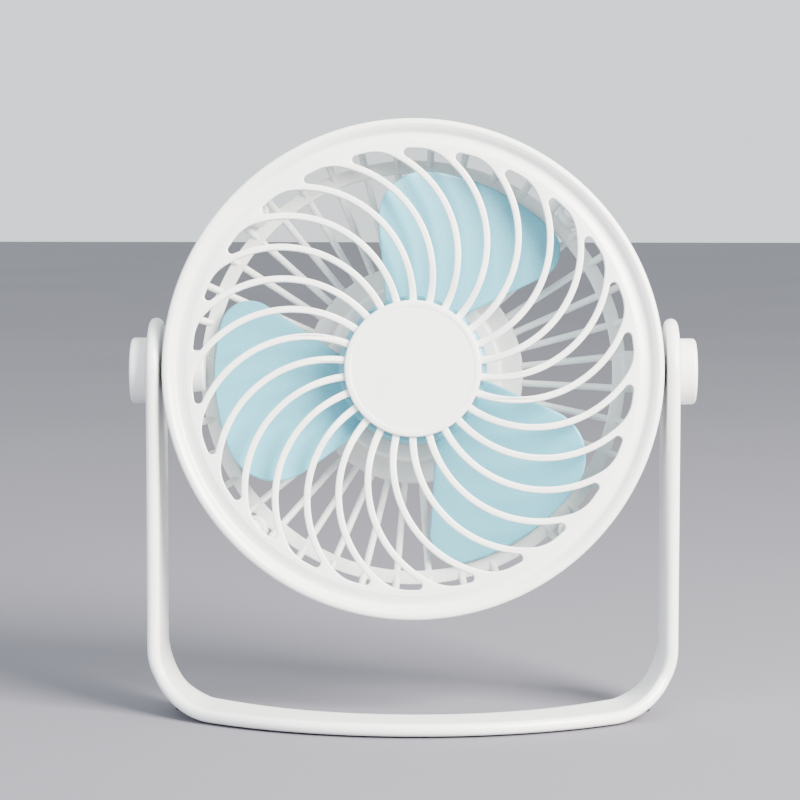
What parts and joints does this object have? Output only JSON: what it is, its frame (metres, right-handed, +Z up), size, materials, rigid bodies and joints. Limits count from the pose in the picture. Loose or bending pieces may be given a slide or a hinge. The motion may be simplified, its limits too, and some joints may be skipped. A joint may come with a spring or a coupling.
{
  "type": "desk fan",
  "caption": "Small desk fan: a round caged head with a teal impeller, pivoted between the arms of a bent white strip stand whose base bows forward.",
  "frame": {"origin": "underside of the front foot pad, midway between the arms, on the table", "axes": "+X to the fan's left-hand arm as it faces you (the viewer's right), +Y to the back, so the grille faces -Y, and +Z up"},
  "size_m": [0.1712, 0.0879, 0.1799],
  "materials": {
    "painted_strip": "gloss",
    "rubber_pad": "matte",
    "dark_nylon": "satin",
    "white_plastic": "gloss",
    "screw_steel": "satin",
    "motor_steel": "satin",
    "black_plastic": "satin",
    "ferrite": "matte",
    "bronze": "matte",
    "copper_alloy": "satin",
    "tinned_brass": "satin",
    "lead_cover": "satin",
    "board_laminate": "satin",
    "socket_steel": "satin",
    "teal_plastic": "gloss",
    "insert_brass": "satin",
    "shaft_steel": "polished",
    "core_steel": "matte",
    "winding_copper": "gloss"
  },
  "bodies": {
    "stand": {"stand_frame": "painted_strip", "foot_pads": "rubber_pad", "pivot_bushes": "dark_nylon"},
    "head": {"front_grille": "white_plastic", "centre_cap": "white_plastic", "rear_cage": "white_plastic", "rim_screws": "screw_steel", "side_knobs": "white_plastic", "pivot_screws": "screw_steel", "knob_caps": "white_plastic", "motor_housing": "white_plastic", "housing_screws": "screw_steel", "motor_can": "motor_steel", "motor_end_cap": "black_plastic", "motor_magnets": "ferrite", "motor_bearings": "bronze", "motor_brushes": "copper_alloy", "motor_terminals": "tinned_brass", "motor_screws": "screw_steel", "motor_leads": "lead_cover", "back_cover": "white_plastic", "cover_screws": "screw_steel", "circuit_board": "board_laminate", "board_screws": "screw_steel", "switch_body": "black_plastic", "power_socket": "socket_steel"},
    "rotor": {"impeller": "teal_plastic", "impeller_insert": "insert_brass", "motor_shaft": "shaft_steel", "rotor_core": "core_steel", "rotor_windings": "winding_copper", "commutator": "winding_copper"},
    "button": {"power_button": "teal_plastic"}
  },
  "joints": [
    {"name": "head_tilt", "type": "hinge", "parent": "stand", "child": "head", "pos_m": [0, 0.0405, 0.1035], "axis": [1, 0, 0], "continuous": true},
    {"name": "blade_spin", "type": "hinge", "parent": "head", "child": "rotor", "pos_m": [0, 0.0405, 0.1035], "axis": [0, -0.9925, 0.1219], "continuous": true},
    {"name": "power_button", "type": "slide", "parent": "head", "child": "button", "axis": [0, -0.9925, 0.1219], "range_m": [0, 0.001], "stiffness_N_per_m": 600, "springref_m": -0.0008}
  ]
}
